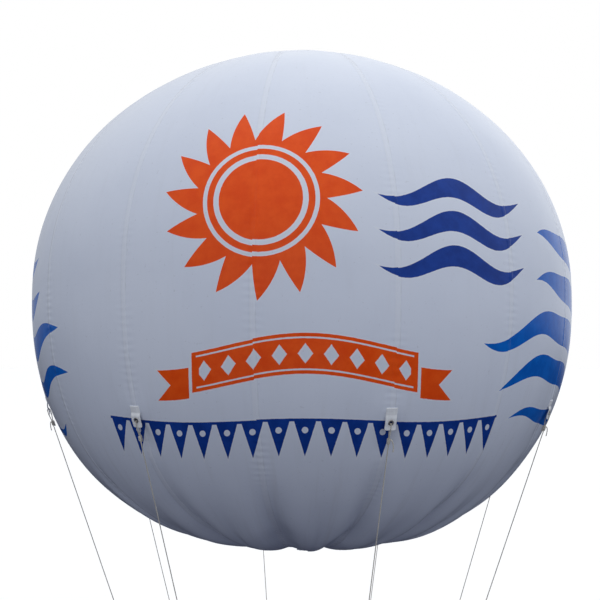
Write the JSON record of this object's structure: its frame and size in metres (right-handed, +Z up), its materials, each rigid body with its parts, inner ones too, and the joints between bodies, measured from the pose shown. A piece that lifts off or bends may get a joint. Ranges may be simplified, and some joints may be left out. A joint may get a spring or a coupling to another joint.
{
  "type": "advertising sky balloon",
  "caption": "Round white PVC helium balloon with printed front, tether tabs with eyelets, and harness lines gathered in a plate with a swivelling tether eye.",
  "frame": {"origin": "centre of the envelope at its widest circle, on the balloon's axis, where the air's lift is taken to act", "axes": "+Z up along the axis from the tether eye to the crown; the printed front faces -Y"},
  "size_m": [3.05, 3.05, 6.0139],
  "materials": {
    "gore_film": "smooth white PVC film, printed on the front",
    "patch_film": "welded white PVC film",
    "neck_film": "gathered white PVC film",
    "tie_cord": "braided cord",
    "tab_strap": "coated PVC strap",
    "eyelet_metal": "rolled plated metal",
    "harness_rope": "braided polyester rope",
    "plate_steel": "brushed stainless steel",
    "bolt_steel": "turned stainless steel",
    "eye_steel": "forged stainless steel"
  },
  "bodies": {
    "balloon": {"gore_01": "gore_film", "gore_02": "gore_film", "gore_03": "gore_film", "gore_04": "gore_film", "gore_05": "gore_film", "gore_06": "gore_film", "gore_07": "gore_film", "gore_08": "gore_film", "gore_09": "gore_film", "gore_10": "gore_film", "gore_11": "gore_film", "gore_12": "gore_film", "gore_13": "gore_film", "gore_14": "gore_film", "gore_15": "gore_film", "gore_16": "gore_film", "crown_patch": "patch_film", "base_patch": "patch_film", "filling_neck": "neck_film", "neck_tie": "tie_cord", "tether_tab_1": "tab_strap", "tether_tab_2": "tab_strap", "tether_tab_3": "tab_strap", "tether_tab_4": "tab_strap", "tether_tab_5": "tab_strap", "tether_tab_6": "tab_strap", "tether_tab_7": "tab_strap", "tether_tab_8": "tab_strap", "eyelet_1": "eyelet_metal", "eyelet_2": "eyelet_metal", "eyelet_3": "eyelet_metal", "eyelet_4": "eyelet_metal", "eyelet_5": "eyelet_metal", "eyelet_6": "eyelet_metal", "eyelet_7": "eyelet_metal", "eyelet_8": "eyelet_metal", "harness_line_1": "harness_rope", "harness_line_2": "harness_rope", "harness_line_3": "harness_rope", "harness_line_4": "harness_rope", "harness_line_5": "harness_rope", "harness_line_6": "harness_rope", "harness_line_7": "harness_rope", "harness_line_8": "harness_rope", "harness_plate": "plate_steel"},
    "tether_swivel": {"swivel_bolt": "bolt_steel", "tether_eye": "eye_steel"}
  },
  "joints": [
    {"name": "swivel_turn", "type": "hinge", "parent": "balloon", "child": "tether_swivel", "pos_m": [0, 0, -4.575], "axis": [0, 0, 1], "continuous": true}
  ]
}
